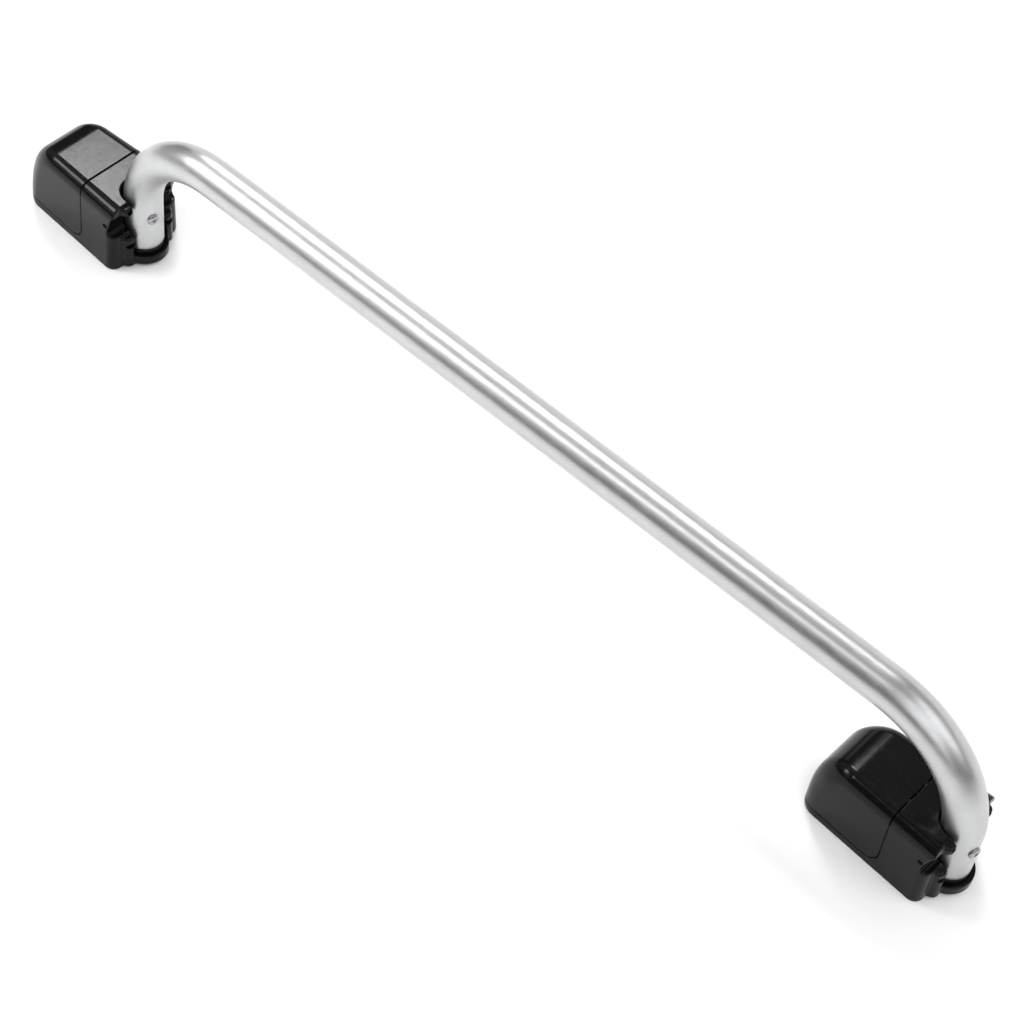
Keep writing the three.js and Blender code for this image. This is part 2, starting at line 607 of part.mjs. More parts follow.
const railing = new THREE.Group();
railing.add(mesh("grab_tube", grabTube(), ANODISED));
railing.add(foot("left", 0));
railing.add(foot("right", LEG_SPACING));
railing.position.x = -(FOOT_REAR + LEG_SPACING + COLLAR.r) / 2;

const grabBar = new THREE.Group();
grabBar.add(railing);
export default grabBar;
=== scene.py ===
"""Looks for a grab bar: a bent anodised tube on two swivelling suction feet of black moulded plastic.

The scene is in metres, in the row frame. A foot is modelled in millimetres in a frame of its own, whose
origin is under the axis of its leg, and it runs towards -X. Both feet share one mesh for each moulding.
"""

import json
import math

import bpy
import numpy as np
from mathutils import Matrix, Vector


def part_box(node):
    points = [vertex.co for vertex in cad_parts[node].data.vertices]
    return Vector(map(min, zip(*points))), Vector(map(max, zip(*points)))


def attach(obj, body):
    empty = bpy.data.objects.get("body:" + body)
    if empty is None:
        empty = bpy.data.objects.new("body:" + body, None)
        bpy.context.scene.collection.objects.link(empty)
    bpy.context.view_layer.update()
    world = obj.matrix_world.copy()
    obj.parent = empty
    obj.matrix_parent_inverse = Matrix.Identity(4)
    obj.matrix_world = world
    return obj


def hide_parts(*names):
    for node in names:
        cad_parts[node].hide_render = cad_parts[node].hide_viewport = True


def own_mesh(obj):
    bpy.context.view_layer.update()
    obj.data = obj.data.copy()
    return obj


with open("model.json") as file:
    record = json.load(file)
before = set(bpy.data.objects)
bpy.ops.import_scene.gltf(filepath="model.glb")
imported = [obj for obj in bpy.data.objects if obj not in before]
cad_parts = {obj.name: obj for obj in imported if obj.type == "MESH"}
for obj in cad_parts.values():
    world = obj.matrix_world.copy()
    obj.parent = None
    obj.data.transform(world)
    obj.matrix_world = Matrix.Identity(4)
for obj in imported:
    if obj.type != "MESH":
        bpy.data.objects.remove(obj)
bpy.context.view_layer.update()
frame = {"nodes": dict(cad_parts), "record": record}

MM = 0.001
SIDES = ("left", "right")
LIGHT_DISTANCE = 30.0
CELL = 0.6  # grid of the moulded pieces, in millimetres


# ---- Sizes, taken from the frame ----
def mm_box(node):
    low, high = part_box(node)
    return np.array(low) / MM, np.array(high) / MM


def leg_x(side):
    low, high = mm_box(f"{side}_pivot_washer")
    return (low[0] + high[0]) / 2


HOUSING_LOW, HOUSING_HIGH = mm_box("left_housing")
LEVER_LOW, LEVER_HIGH = mm_box("left_lever")
TUBE_LOW, TUBE_HIGH = mm_box("grab_tube")
LEG = {side: leg_x(side) for side in SIDES}

TUBE_R = (TUBE_HIGH[1] - TUBE_LOW[1]) / 2
TUBE_WALL = 2.0
BAR_Z = TUBE_HIGH[2] - TUBE_R
BEND_R = 85.0
TUBE_END = TUBE_LOW[2]

REAR = HOUSING_LOW[0] - LEG["left"]
FRONT = 2.0
OPEN_FRONT = 30.0  # so far ahead that the form has no front of its own
HALF_W = 37.45
TAPER = 0.00166
TOP = LEVER_HIGH[2]
BASE = HOUSING_LOW[2]
SIDE_DRAFT = 1.4
EDGE_R = 12.0
SHOULDER_R = 18.0
SHOULDER_Z = (8.0, 42.0)
RISE_X = 35.0
RISE_Z = 47.0
REAR_POWER = 2.25
BLEND_POWER = 2.25
REAR_CORNER_R = 14.0
FRONT_CORNER_R = 9.0
FRONT_LIP_R = 1.6
FRONT_LIP_Z = (62.0, 44.0)
SHELL = 2.4
JACKET = 3.6
SEAM_TOP = 1.1
SEAM_SIDE = 0.5
SEAM_X = -38.0
SEAM_Z = LEVER_LOW[2] - SEAM_SIDE / 2
SEAM_R = 12.0
SEAM_EDGE_R = 0.35
BLOCK_X = -10.0
SOCKET_R = TUBE_R + 1.1
COLLAR_R = HOUSING_HIGH[0] - LEG["left"]
COLLAR_Z = (BASE, 11.0)
COLLAR_BORE = {"r": 16.2, "z": (9.0, 12.0)}
BOLT_BORE = {"r": 4.4, "z": (0.0, 12.0)}
WASHER_SEAT = {"r": 9.0, "z": (0.0, 6.3)}
CHANNEL_X = -1.0
CHEEK = {"x": 7.6, "y0": SOCKET_R - 1, "y1": 22.5}
RECESS = {"z0": 36.0, "z1": 59.0, "x": -5.8, "top_x": 0.3, "r": 5.0, "y": 15.5}
HEAD_GROOVE = {"r": 19.0, "z": (42.8, 56.2)}
EYE = {"x": 2.6, "y": 20.8, "r": 5.4, "bore": 2.5, "slot": 1.4, "floor": 2.2}
EYE_Z = (24.4, 62.2)
DENT = {"x": -7.0, "z": 47.0, "depth": 2.4, "half_x": 2.4, "half_z": 1.7}
FLOOR = (6.4, 8.8)
RIM = 4.2
CUP_FRONT = -20.0
PIVOT = {"x": -56.0, "z": 62.5, "r": 1.65}
STEM_X = -55.0
STEM_R = 5.0
STEM_GAP = 0.35
GUIDE_TOP = 22.0
GUIDE_WALL = 3.0
EAR = {"y": (15.0, 19.0), "top": 3.0, "widening": 6.0, "height": 50.0}
CAM_SCREW = {
    "x": -72.0, "y": 5.0, "post": 2.9, "post_z": (TOP - 5.1, TOP - 1), "bore": 1.4, "bore_z": (60.0, 65.0),
}
FRAME_SCREWS = ((-97.0, 16.0), (-46.0, 26.4))
FRAME_BORE = {"r": 1.75, "z": (3.0, 12.0)}
PAD_LIP = 2.0
BEAD = {"outer": RIM + 0.4, "inner": 6.4, "z": (0.5, 5.6)}
DOME = {"x": (-93.0, -27.0), "half_w": 26.0, "corner": 9.0, "slope": 1.6, "z": (1.0, 4.3), "keep": 0.3}
SPRING = {"turns": 6, "wire": 0.9, "r": 6.6, "z0": 22.3, "z1": 43.1, "keep": 0.86}
LEG_SCREW = {"z": 49.5, "r": 5.2, "head": 2.4, "shank": 2.5, "x": (6.0, 18.6), "hex": 1.9, "degrees": -14.0}
CHEEK_SCREW = {"r": 2.1, "head": (2.5, 4.6), "shank": 1.2, "end": -6.0, "hex": 1.1, "hex_floor": 3.6}
PLUG = {"r": 15.9, "z": (12.2, 54.0), "gap": 0.35, "bore": 4.0, "bore_z": (10.0, 32.0), "screw": 2.6}
FINGER = {"half_w": 13.0, "rise": 9.0, "depth": 8.0}


# ---- Signed distances (negative inside), in a foot's frame ----
def both(a, b, r=0.0):
    """Inside a and b, the edge between them rounded to radius r."""
    if np.all(np.asarray(r) <= 0):
        return np.maximum(a, b)
    u = np.maximum(a + r, 0)
    v = np.maximum(b + r, 0)
    return np.minimum(np.maximum(a, b), -r) + np.hypot(u, v)


def either(a, b, r=0.0):
    """Inside a or b, the corner between them filled to radius r."""
    return -both(-a, -b, r)


def without(a, b, r=0.0):
    """Inside a but not b."""
    return both(a, -b, r)


def ease(start, stop, v):
    """0 at start, 1 at stop, smooth between."""
    t = np.clip((v - start) / (stop - start), 0, 1)
    return t * t * (3 - 2 * t)


def slab(v, low, high):
    return np.maximum(low - v, v - high)


def disc(u, v, cu, cv, r):
    return np.hypot(u - cu, v - cv) - r


def post(p, x, y, r, z0, z1, edge=0.0):
    """An upright cylinder at x, |y|."""
    return both(disc(p[0], np.abs(p[1]), x, y, r), slab(p[2], z0, z1), edge)


def brick(p, x, y, z, edge=0.0):
    """A block between pairs of x, |y| and z."""
    return both(both(slab(p[0], *x), slab(np.abs(p[1]), *y), edge), slab(p[2], *z), edge)


def side_profile(x, z):
    """The foot from the side: a flat top that falls to the rear in a quarter of a squarish oval."""
    u = np.maximum((REAR + RISE_X - x) / RISE_X, 0)
    v = np.maximum((z - TOP + RISE_Z) / RISE_Z, 0)
    size = np.maximum((u**REAR_POWER + v**REAR_POWER) ** (1 / REAR_POWER), 1e-6)
    slope = np.hypot((u / size) ** (REAR_POWER - 1) / RISE_X, (v / size) ** (REAR_POWER - 1) / RISE_Z)
    curved = (size - 1) / np.maximum(slope, 1e-6)
    straight = np.maximum(z - TOP, REAR - x)
    return np.where((u > 0) & (v > 0), curved, straight)


def blended(a, b, r):
    """Inside a and b, their edge rounded so that its curve starts gently, as on a softened moulding."""
    u = np.maximum(a + r, 0)
    v = np.maximum(b + r, 0)
    round_part = (u**BLEND_POWER + v**BLEND_POWER + 1e-12) ** (1 / BLEND_POWER)
    return np.minimum(np.maximum(a, b), -r) + round_part


def across(p):
    """How far a point is from the middle plane, in a foot that has been widened to its front's width."""
    x, y, _ = p
    return np.abs(y) / (1 + TAPER * x)


def outline(p, inset=0.0, front=FRONT, corner=FRONT_CORNER_R):
    """The foot in plan: rounded rear corners and front corners."""
    x, _, _ = p
    side = across(p) - HALF_W + inset
    rear = both(side, REAR + inset - x, max(REAR_CORNER_R - inset, 1))
    return both(rear, x - front + inset, max(corner - inset, 0.5))


def foot_form(p, front=FRONT):
    """The foot's whole outer form, rounded most at the rear's shoulders."""
    x, _, z = p
    side = across(p) - HALF_W + SIDE_DRAFT * np.clip(z / (TOP - EDGE_R), 0, 1.2)
    corner = REAR_CORNER_R + (SHOULDER_R - REAR_CORNER_R) * ease(*SHOULDER_Z, z)
    radius = EDGE_R + (corner - EDGE_R) * ease(REAR + RISE_X, REAR + 8, x)
    form = blended(side, side_profile(x, z), radius)
    front_r = FRONT_LIP_R + (FRONT_CORNER_R - FRONT_LIP_R) * ease(*FRONT_LIP_Z, z)
    return blended(form, x - front, front_r)


def lever_zone(p, side_of_seam):
    """Everything behind and above the seam, on the lever's side (-1) or the housing's (1)."""
    x, _, z = p
    half = side_of_seam * (SEAM_SIDE + (SEAM_TOP - SEAM_SIDE) * ease(TOP - EDGE_R, TOP - EDGE_R + 3, z)) / 2
    return both(x - SEAM_X - half, SEAM_Z - side_of_seam * SEAM_SIDE / 2 - z, SEAM_R)


def channel(p):
    """The space that the leg turns in, open to the front."""
    x, y, _ = p
    back = disc(x, y, CHANNEL_X, 0, SOCKET_R)
    ahead = np.maximum(np.abs(y) - SOCKET_R, CHANNEL_X - x)
    return np.minimum(back, ahead)


def scoop(p):
    """The hollow across the front of each cheek, between its two eyes. Its roof slants down to the rear."""
    x, y, z = p
    run = RECESS["top_x"] - RECESS["x"]
    rise = RECESS["z1"] - RECESS["z0"] - RECESS["r"]
    roof = ((z - RECESS["z1"]) * run - (x - RECESS["top_x"]) * rise) / math.hypot(run, rise)
    hollow = both(both(RECESS["x"] - x, slab(z, RECESS["z0"], RECESS["z1"]), RECESS["r"]), roof, 2.5)
    return both(hollow, RECESS["y"] - np.abs(y), 0.5)


def cheek_front(p):
    """The thicker inner part of each cheek's front, with the round eyes that hold its screws."""
    step = brick(p, (-12, CHEEK["x"]), (CHEEK["y0"], CHEEK["y1"]), (BASE - 3, RECESS["z0"] - 5), 2.2)
    low_eye = post(p, EYE["x"], EYE["y"], EYE["r"], BASE - 3, RECESS["z0"] - 3, 2.4)
    high_eye = post(p, EYE["x"], EYE["y"], EYE["r"], RECESS["z1"] - 5, TOP - 2.2, 2.4)
    return either(either(step, low_eye, 1.5), high_eye)


def housing(p):
    """The fixed moulding: front block, low rim under the lever, floor, ears and the stem's guide."""
    x, y, z = p
    form = foot_form(p)
    skin = without(without(form, form + SHELL), lever_zone(p, 1), SEAM_EDGE_R)
    rim = both(both(form, outline(p)), slab(z, BASE, SEAM_Z - SEAM_SIDE / 2), 0.3)
    floor = both(outline(p, SHELL + 0.6), slab(z, *FLOOR))
    body = np.minimum(np.minimum(skin, rim), floor)

    ahead = foot_form(p, OPEN_FRONT)
    block = both(form, BLOCK_X - x)
    jacket = both(post(p, CHANNEL_X, 0, SOCKET_R + JACKET, BASE, TOP + 1), form)
    body = np.minimum(body, np.minimum(block, jacket))
    body = either(body, both(cheek_front(p), ahead, 1.5), 2.2)
    body = either(body, post(p, 0, 0, COLLAR_R, *COLLAR_Z, 1.2), 1.2)

    ear_width = EAR["top"] + EAR["widening"] * np.clip((PIVOT["z"] - z) / EAR["height"], 0, 1)
    ear = both(np.abs(x - PIVOT["x"]) - ear_width, FLOOR[0] - z)
    ear = np.minimum(np.maximum(ear, z - PIVOT["z"]), disc(x, z, PIVOT["x"], PIVOT["z"], EAR["top"]))
    body = either(body, both(ear, slab(np.abs(y), *EAR["y"]), 0.4), 1.0)
    body = either(body, post(p, STEM_X, 0, STEM_R + GUIDE_WALL, FLOOR[0], GUIDE_TOP, 0.5), 1.2)

    rim_r = 0.8 + 0.6 * ease(TOP - 9, TOP - 4, z)
    body = without(body, both(channel(p), COLLAR_Z[1] - z, 1.0), rim_r)
    body = without(body, scoop(p), 1.1)
    body = without(body, post(p, CHANNEL_X, 0, HEAD_GROOVE["r"], *HEAD_GROOVE["z"]), 0.5)
    top_eye = both(disc(np.abs(y), z, EYE["y"], EYE_Z[1], EYE["bore"]), EYE["floor"] - x)
    aside = np.maximum(np.abs(np.abs(y) - EYE["y"]) - EYE["slot"], 0)
    low_eye = both(np.hypot(aside, z - EYE_Z[0]) - EYE["bore"], EYE["floor"] - x)
    body = without(body, np.minimum(top_eye, low_eye), 0.8)
    dent = np.hypot((x - DENT["x"]) / DENT["half_x"], (z - DENT["z"]) / DENT["half_z"]) - 1
    body = without(body, both(DENT["half_z"] * dent, HALF_W - DENT["depth"] - across(p)), 0.4)
    body = np.maximum(body, BASE - z)
    body = without(body, both(outline(p, RIM, CUP_FRONT), z - FLOOR[0]), 0.3)
    body = without(body, post(p, STEM_X, 0, STEM_R + STEM_GAP, 0, GUIDE_TOP + 2), 0.3)
    body = without(body, disc(x, z, PIVOT["x"], PIVOT["z"], PIVOT["r"]))
    for screw_x, screw_y in FRAME_SCREWS:
        body = without(body, post(p, screw_x, screw_y, FRAME_BORE["r"], *FRAME_BORE["z"]))
    body = without(body, post(p, 0, 0, BOLT_BORE["r"], *BOLT_BORE["z"]))
    body = without(body, post(p, 0, 0, WASHER_SEAT["r"], *WASHER_SEAT["z"]), 0.3)
    return without(body, post(p, 0, 0, COLLAR_BORE["r"], *COLLAR_BORE["z"]))


def pad(p):
    """The suction pad's flat sealing lip, with a bead that grips the rim."""
    _, _, z = p
    lip = both(outline(p, 0.25), slab(z, 0, PAD_LIP), 0.6)
    bead = without(outline(p, BEAD["outer"], CUP_FRONT), outline(p, BEAD["inner"], CUP_FRONT))
    bead = both(bead, slab(z, *BEAD["z"]), 0.3)
    return either(lip, bead, 0.3)


def pad_dome(p):
    """The raised middle of the suction pad, which the stem presses flat."""
    x, y, z = p
    sides = both(slab(x, *DOME["x"]), np.abs(y) - DOME["half_w"], DOME["corner"])
    sloping = sides + DOME["slope"] * np.maximum(z - DOME["z"][0], 0)
    return both(sloping, slab(z, *DOME["z"]), 0.5)


def hex_socket(u, v, r):
    """The six flat sides of a socket whose corners lie r from its middle."""
    flats = [u * math.cos(math.pi * k / 3) + v * math.sin(math.pi * k / 3) for k in range(6)]
    return np.max(np.broadcast_arrays(*flats), axis=0) - r * math.cos(math.pi / 6)


def leg_screw(p):
    """A button-head screw along X, its head outside the tube."""
    x, y, z = p
    r = np.hypot(y, z)
    seat = TUBE_R + 0.1
    dome = np.hypot((x - seat) / LEG_SCREW["head"], r / LEG_SCREW["r"]) - 1
    head = both(both(LEG_SCREW["head"] * dome, seat - x, 0.3), x - seat - LEG_SCREW["head"] + 0.25, 0.3)
    screw = either(head, both(r - LEG_SCREW["shank"], slab(x, LEG_SCREW["x"][0], seat + 0.5)), 0.2)
    return without(screw, both(hex_socket(y, z, LEG_SCREW["hex"]), seat + 1 - x), 0.15)


def cheek_screw(p):
    """A socket screw along X, its head flush in the eye of a cheek."""
    x, y, z = p
    r = np.hypot(y, z)
    head = both(r - CHEEK_SCREW["r"], slab(x, *CHEEK_SCREW["head"]), 0.3)
    shank = both(r - CHEEK_SCREW["shank"], slab(x, CHEEK_SCREW["end"], 3))
    socket = both(hex_socket(y, z, CHEEK_SCREW["hex"]), CHEEK_SCREW["hex_floor"] - x)
    return without(either(head, shank, 0.2), socket, 0.1)


def plug(p):
    """The plug in the tube's end, with the flange that shows below it."""
    flange = post(p, 0, 0, PLUG["r"], PLUG["z"][0], TUBE_END - PLUG["gap"], 0.6)
    core = post(p, 0, 0, TUBE_R - TUBE_WALL - PLUG["gap"], TUBE_END - 1.5, PLUG["z"][1], 0.5)
    bored = without(np.minimum(flange, core), post(p, 0, 0, PLUG["bore"], *PLUG["bore_z"]), 0.3)
    x, y, z = p
    turn = math.radians(LEG_SCREW["degrees"])
    aside = y * math.cos(turn) - x * math.sin(turn)
    along = x * math.cos(turn) + y * math.sin(turn)
    return without(bored, both(np.hypot(aside, z - LEG_SCREW["z"]) - PLUG["screw"], 2 - along))


def lever(p):
    """The flip lever: a shell with screw posts inside and a finger scoop in its rear edge."""
    x, y, z = p
    form = foot_form(p, OPEN_FRONT)
    shell = without(form, form + SHELL, 0.3)
    posts = post(p, CAM_SCREW["x"], CAM_SCREW["y"], CAM_SCREW["post"], *CAM_SCREW["post_z"])
    body = either(shell, both(posts, form + 0.5), 0.6)
    body = both(body, lever_zone(p, -1), SEAM_EDGE_R)
    body = without(body, post(p, CAM_SCREW["x"], CAM_SCREW["y"], CAM_SCREW["bore"], *CAM_SCREW["bore_z"]))
    arch = np.hypot(y / FINGER["half_w"], (z - SEAM_Z) / FINGER["rise"]) - 1
    arch = both(arch * FINGER["rise"], x - REAR - FINGER["depth"])
    return without(body, arch, 1.2)


# ---- Turning a distance into a mesh ----
def net(distance, low, high, cell):
    """Vertices and quads of the surface where distance is zero: one vertex in each cell that it crosses."""
    axes = [np.arange(a - 1.5 * cell, b + 2.5 * cell, cell) for a, b in zip(low, high)]
    xs, ys, zs = np.meshgrid(*axes, indexing="ij", sparse=True)
    values = np.empty([len(a) for a in axes], dtype=np.float32)
    step = 24
    for start in range(0, len(axes[0]), step):
        part = xs[start : start + step]
        values[start : start + step] = distance((part, ys, zs))
    inside = values < 0
    shape = np.array(values.shape) - 1

    total = np.zeros((*shape, 3), dtype=np.float32)
    count = np.zeros(shape, dtype=np.float32)
    corner = np.indices((2, 2, 2)).reshape(3, -1).T
    window = [tuple(slice(c[k], c[k] + shape[k]) for k in range(3)) for c in corner]
    for i in range(8):
        for j in range(i + 1, 8):
            delta = corner[j] - corner[i]
            if np.abs(delta).sum() != 1:
                continue
            a = values[window[i]]
            b = values[window[j]]
            crossed = inside[window[i]] != inside[window[j]]
            t = np.where(crossed, a / np.where(crossed, a - b, 1), 0)
            for k in range(3):
                total[..., k] += crossed * (corner[i][k] + t * delta[k])
            count += crossed
    used = count > 0
    number = -np.ones(shape, dtype=np.int64)
    number[used] = np.arange(used.sum())
    place = total[used] / count[used][:, None] + np.argwhere(used)
    origin = np.array([a[0] for a in axes])
    vertices = origin + place * cell

    quads = []
    for k in range(3):
        u, v = (k + 1) % 3, (k + 2) % 3
        ahead = [slice(None)] * 3
        behind = [slice(None)] * 3
        ahead[k] = slice(1, None)
        behind[k] = slice(None, -1)
        enters = inside[tuple(behind)] & ~inside[tuple(ahead)]
        leaves = ~inside[tuple(behind)] & inside[tuple(ahead)]
        for flag, flip in ((enters, False), (leaves, True)):
            at = np.argwhere(flag)
            ring = []
            for du, dv in ((-1, -1), (0, -1), (0, 0), (-1, 0)):
                cell_at = at.copy()
                cell_at[:, u] += du
                cell_at[:, v] += dv
                ring.append(number[tuple(cell_at.T)])
            quad = np.stack(ring[::-1] if flip else ring, axis=1)
            quads.append(quad)
    return vertices, np.concatenate(quads)


def slope(distance, points):
    """The distance's gradient at the points, as unit vectors, with its length."""
    h = 0.02
    columns = []
    for k in range(3):
        ahead = points.copy()
        behind = points.copy()
        ahead[:, k] += h
        behind[:, k] -= h
        columns.append((distance(tuple(ahead.T)) - distance(tuple(behind.T))) / (2 * h))
    gradient = np.stack(columns, axis=1)
    size = np.maximum(np.linalg.norm(gradient, axis=1), 1e-3)
    return gradient / size[:, None], size


def settle(distance, points, cell):
    """Moves the points onto the surface."""
    for _ in range(3):
        normal, size = slope(distance, points)
        move = np.clip(distance(tuple(points.T)) / size, -0.5 * cell, 0.5 * cell)
        points = points - normal * move[:, None]
    return points


def moulding(name, distance, low, high, keep, cell=CELL):
    """A mesh of the distance's surface, in millimetres, thinned to a share of its faces."""
    vertices, quads = net(distance, low, high, cell)
    vertices = settle(distance, vertices, cell)
    data = bpy.data.meshes.new(name)
    data.from_pydata(vertices.tolist(), [], quads.tolist())
    data.update()
    thick = bpy.data.objects.new(name, data)
    bpy.context.scene.collection.objects.link(thick)
    thin = thick.modifiers.new("thin", "DECIMATE")
    thin.ratio = keep
    thinned = bpy.data.meshes.new_from_object(thick.evaluated_get(bpy.context.evaluated_depsgraph_get()))
    bpy.data.objects.remove(thick)
    points = np.empty(len(thinned.vertices) * 3)
    thinned.vertices.foreach_get("co", points)
    points = settle(distance, points.reshape(-1, 3), cell / 2)
    thinned.vertices.foreach_set("co", points.ravel())
    thinned.polygons.foreach_set("use_smooth", [True] * len(thinned.polygons))
    thinned.update()
    normals, _ = slope(distance, points)
    thinned.normals_split_custom_set_from_vertices(normals.tolist())
    return thinned


def piece(name, data, material, body, replaces=(), matrix=None):
    """Puts a mesh in the scene as a named piece of the object."""
    made = bpy.data.objects.new(name, data)
    bpy.context.scene.collection.objects.link(made)
    if matrix is not None:
        made.data.transform(matrix)
    made.data.materials.clear()
    made.data.materials.append(material)
    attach(made, body)
    if replaces:
        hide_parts(*replaces)
    return made


def foot_matrix(side):
    return Matrix.Translation((LEG[side] * MM, 0, 0)) @ Matrix.Scale(MM, 4)


# ---- The spring's and the tube's meshes ----
def loft(rings, closed=False):
    """A smooth mesh through rings of points; flat faces close its ends unless the rings meet."""
    rings = np.array(rings)
    rows, sides, _ = rings.shape
    faces = []
    for i in range(rows if closed else rows - 1):
        for j in range(sides):
            a = i * sides
            b = ((i + 1) % rows) * sides
            k = (j + 1) % sides
            faces.append((a + j, a + k, b + k, b + j))
    if not closed:
        faces.append(tuple(range(sides))[::-1])
        faces.append(tuple((rows - 1) * sides + j for j in range(sides)))
    data = bpy.data.meshes.new("loft")
    data.from_pydata(rings.reshape(-1, 3).tolist(), [], faces)
    data.polygons.foreach_set("use_smooth", [True] * len(faces))
    data.update()
    return data


def bar_axis():
    """Stations along the bar's axis: x and z in millimetres, and the turn from upright in radians."""
    bend_steps = 40
    legs = (LEG["left"], LEG["right"])
    path = []
    for z in np.linspace(TUBE_END, BAR_Z - BEND_R, 12)[:-1]:
        path.append((legs[0], z, 0.0))
    for k in range(bend_steps + 1):
        turn = math.pi / 2 * k / bend_steps
        x = legs[0] + BEND_R * (1 - math.cos(turn))
        path.append((x, BAR_Z - BEND_R + BEND_R * math.sin(turn), turn))
    for x in np.linspace(legs[0] + BEND_R, legs[1] - BEND_R, 34)[1:-1]:
        path.append((x, BAR_Z, math.pi / 2))
    rising = [station for station in path if station[2] < math.pi / 2 - 1e-6]
    mirrored = [(legs[0] + legs[1] - x, z, math.pi - turn) for x, z, turn in rising]
    bend_end = (legs[1] - BEND_R, BAR_Z, math.pi / 2)
    return path + [bend_end] + mirrored[::-1]


def spring_mesh():
    """The return spring round the stem, in the foot's millimetres."""
    rings = []
    around = 2 * math.pi * SPRING["turns"]
    climb = SPRING["z1"] - SPRING["z0"] - 2 * SPRING["wire"]
    steps = SPRING["turns"] * 28
    for t in np.linspace(0, 1, steps + 1):
        out = np.array([math.cos(around * t), math.sin(around * t), 0])
        centre = SPRING["r"] * out + np.array([STEM_X, 0, SPRING["z0"] + SPRING["wire"] + climb * t])
        angles = np.linspace(0, 2 * math.pi, 10, endpoint=False)
        up = np.array([0, 0, 1.0])
        rings.append([centre + SPRING["wire"] * (math.cos(a) * out + math.sin(a) * up) for a in angles])
    return loft(rings)


def tube_mesh():
    """The tube as one closed skin: outside, rounded cut edges, inside."""
    sides = 72
    outer = TUBE_R
    inner = TUBE_R - TUBE_WALL
    round_off = 0.35
    half_way = 0.1
    path = bar_axis()

    def ring(station, radius, shift=0.0):
        x, z, turn = station
        along = np.array([math.sin(turn), 0, math.cos(turn)])
        out = np.array([-math.cos(turn), 0, math.sin(turn)])
        across = np.array([0, 1.0, 0])
        centre = np.array([x, 0, z]) + along * shift
        angles = np.linspace(0, 2 * math.pi, sides, endpoint=False)
        return [(centre + radius * (math.cos(a) * out + math.sin(a) * across)) * MM for a in angles]

    rings = [ring(path[0], outer - round_off), ring(path[0], outer - half_way, half_way)]
    rings += [ring(path[0], outer, round_off)]
    rings += [ring(station, outer) for station in path[1:-1]]
    rings += [ring(path[-1], outer, -round_off), ring(path[-1], outer - half_way, -half_way)]
    rings += [ring(path[-1], outer - round_off), ring(path[-1], inner + round_off)]
    rings += [ring(path[-1], inner, -round_off)]
    rings += [ring(station, inner) for station in path[1:-1][::-1]]
    rings += [ring(path[0], inner, round_off), ring(path[0], inner + round_off)]
    return loft(rings, closed=True)


# ---- Materials ----
def material(name, colour, metallic, roughness, **extra):
    made = bpy.data.materials.new(name)
    made.use_nodes = True
    shader = made.node_tree.nodes["Principled BSDF"]
    shader.inputs["Base Color"].default_value = (*colour, 1)
    shader.inputs["Metallic"].default_value = metallic
    shader.inputs["Roughness"].default_value = roughness
    for label, value in extra.items():
        shader.inputs[label.replace("_", " ")].default_value = value
    return made, shader


def noise(tree, scale, detail, stretch=(1, 1, 1)):
    """A noise pattern in the object's own metres."""
    place = tree.nodes.new("ShaderNodeTexCoord")
    mapping = tree.nodes.new("ShaderNodeMapping")
    mapping.inputs["Scale"].default_value = stretch
    pattern = tree.nodes.new("ShaderNodeTexNoise")
    pattern.inputs["Scale"].default_value = scale
    pattern.inputs["Detail"].default_value = detail
    tree.links.new(place.outputs["Object"], mapping.inputs["Vector"])
    tree.links.new(mapping.outputs["Vector"], pattern.inputs["Vector"])
    return pattern.outputs["Fac"]


def spread(tree, value, low, high, label, shader, start=0.3, stop=0.7):
    """Lets a pattern drive one of the shader's numbers between low and high."""
    fit = tree.nodes.new("ShaderNodeMapRange")
    fit.inputs["From Min"].default_value = start
    fit.inputs["From Max"].default_value = stop
    fit.inputs["To Min"].default_value = low
    fit.inputs["To Max"].default_value = high
    tree.links.new(value, fit.inputs["Value"])
    tree.links.new(fit.outputs["Result"], shader.inputs[label])


def tint(tree, value, dark, light, shader):
    """Lets a pattern drive the base colour between two colours."""
    ramp = tree.nodes.new("ShaderNodeValToRGB")
    ramp.color_ramp.elements[0].position = 0.3
    ramp.color_ramp.elements[0].color = (*dark, 1)
    ramp.color_ramp.elements[1].position = 0.7
    ramp.color_ramp.elements[1].color = (*light, 1)
    tree.links.new(value, ramp.inputs["Fac"])
    tree.links.new(ramp.outputs["Color"], shader.inputs["Base Color"])


def relief(tree, value, depth, strength, shader):
    """Lets a pattern raise and sink the surface by depth metres."""
    bump = tree.nodes.new("ShaderNodeBump")
    bump.inputs["Strength"].default_value = strength
    bump.inputs["Distance"].default_value = depth
    tree.links.new(value, bump.inputs["Height"])
    tree.links.new(bump.outputs["Normal"], shader.inputs["Normal"])


def anodised():
    made, shader = material("anodised", (0.53, 0.534, 0.54), 1.0, 0.37)
    tree = made.node_tree
    tint(tree, noise(tree, 45, 4), (0.51, 0.514, 0.52), (0.55, 0.553, 0.558), shader)
    spread(tree, noise(tree, 160, 5), 0.34, 0.41, "Roughness", shader)
    relief(tree, noise(tree, 2600, 3), 0.00002, 0.12, shader)
    return made


def moulded_black(name, roughness, grain):
    made, shader = material(name, (0.005, 0.005, 0.0053), 0.0, roughness, IOR=1.25)
    tree = made.node_tree
    tint(tree, noise(tree, 60, 3), (0.004, 0.004, 0.0044), (0.0055, 0.0055, 0.006), shader)
    spread(tree, noise(tree, 220, 4), roughness * 0.85, roughness * 1.2, "Roughness", shader)
    relief(tree, noise(tree, 1500, 3), 0.00002, grain, shader)
    return made


